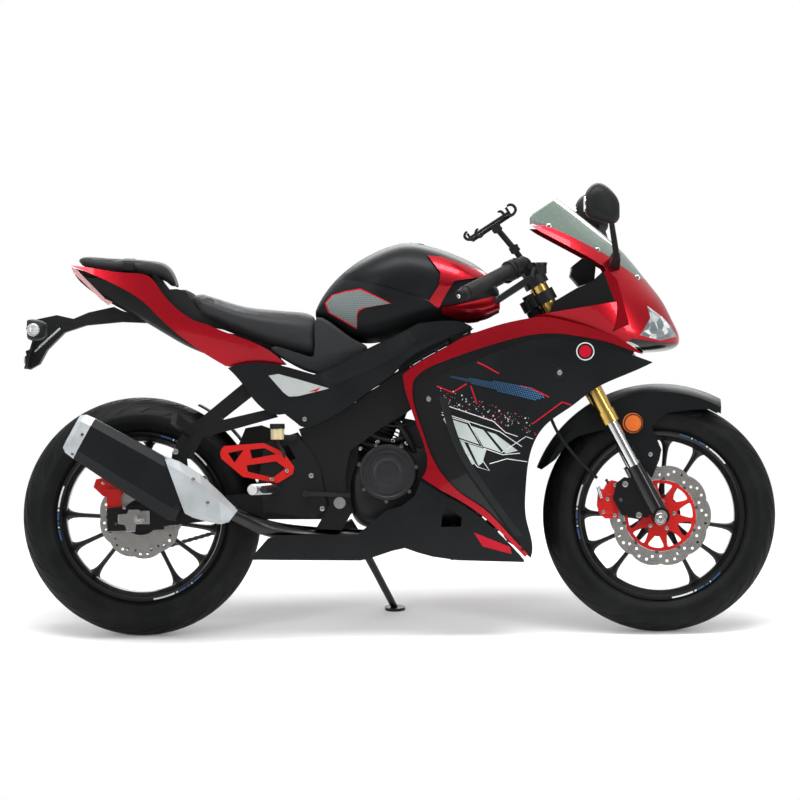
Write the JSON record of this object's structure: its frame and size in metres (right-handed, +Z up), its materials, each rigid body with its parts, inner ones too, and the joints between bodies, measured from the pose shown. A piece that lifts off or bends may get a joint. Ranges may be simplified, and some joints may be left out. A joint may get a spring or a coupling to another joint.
{
  "type": "sport motorcycle",
  "caption": "Fully faired sport motorcycle parked on its side stand, with turning wheels, steering and folding stand.",
  "frame": {"origin": "on the floor, under the middle of the parked machine's bounding box", "axes": "+X forward, +Y to the rider's left (the side it leans to), +Z up"},
  "size_m": [1.9407, 0.7955, 1.19],
  "materials": {
    "black_satin": "satin",
    "black_gloss": "gloss",
    "red_gloss": "candy gloss",
    "frame_black": "satin",
    "wheel_black": "gloss",
    "tyre": "matt",
    "seat": "grained",
    "gold": "anodised",
    "chrome": "polished",
    "steel": "brushed",
    "silver": "satin",
    "aluminium": "cast",
    "red_metal": "gloss",
    "glass_tint": "tinted clear",
    "lamp_glass": "clear",
    "lamp_red": "clear red",
    "lamp_amber": "clear amber",
    "mirror": "mirror",
    "rubber": "matt",
    "insert_grey": "satin"
  },
  "bodies": {
    "chassis": {"main_frame": "frame_black", "swingarm": "frame_black", "swingarm_bolts": "steel", "shock_absorber": "steel", "engine": "aluminium", "radiator": "frame_black", "exhaust_pipe": "frame_black", "muffler": "frame_black", "muffler_trim": "silver", "fuel_tank": "wheel_black", "tank_panels": "red_gloss", "rider_seat": "seat", "pillion_pad": "seat", "tail_panels": "red_gloss", "undertail": "black_satin", "tail_light": "lamp_red", "plate_bracket": "black_satin", "rear_indicators": "lamp_amber", "side_covers": "black_satin", "side_inserts": "insert_grey", "side_fairings": "black_satin", "fairing_stripes": "red_gloss", "inner_panels": "black_satin", "belly_pan": "black_satin", "nose_cowl": "red_gloss", "headlight": "lamp_glass", "chin_cowl": "black_satin", "windscreen": "glass_tint", "instrument_pod": "black_gloss", "mirrors": "black_gloss", "mirror_glass": "mirror", "foot_brackets": "frame_black", "foot_pegs": "aluminium", "foot_guards": "red_metal", "rear_hugger": "black_satin", "rear_brake": "red_metal", "drive_chain": "steel"},
    "steering": {"triple_clamps": "frame_black", "fork_uppers": "gold", "fork_sliders": "chrome", "fork_feet": "frame_black", "front_axle": "steel", "clip_ons": "frame_black", "grips": "rubber", "hand_controls": "black_satin", "front_fender": "black_gloss", "reflectors": "lamp_amber", "front_caliper": "red_metal", "brake_hose": "rubber", "phone_holder": "black_satin"},
    "front_wheel": {"front_tyre": "tyre", "front_rim": "wheel_black", "front_disc": "steel", "disc_carrier": "red_metal"},
    "rear_wheel": {"rear_tyre": "tyre", "rear_rim": "wheel_black", "rear_disc": "steel", "rear_sprocket": "steel"},
    "stand": {"side_stand": "frame_black"}
  },
  "joints": [
    {"name": "steering_turn", "type": "hinge", "parent": "chassis", "child": "steering", "pos_m": [0.43901, -0.07075, 0.66603], "axis": [-0.4617, 0.154, 0.8735], "range_deg": [-28, 28]},
    {"name": "front_wheel_spin", "type": "hinge", "parent": "steering", "child": "front_wheel", "pos_m": [0.6705, -0.13594, 0.29634], "axis": [0, 0.9848, -0.1736], "continuous": true},
    {"name": "rear_wheel_spin", "type": "hinge", "parent": "chassis", "child": "rear_wheel", "pos_m": [-0.6635, -0.13469, 0.3034], "axis": [0, 0.9848, -0.1736], "continuous": true},
    {"name": "stand_fold", "type": "hinge", "parent": "chassis", "child": "stand", "pos_m": [-0.1035, -0.01772, 0.20662], "axis": [-0.1598, 0.9436, 0.29], "range_deg": [0, 88]}
  ]
}
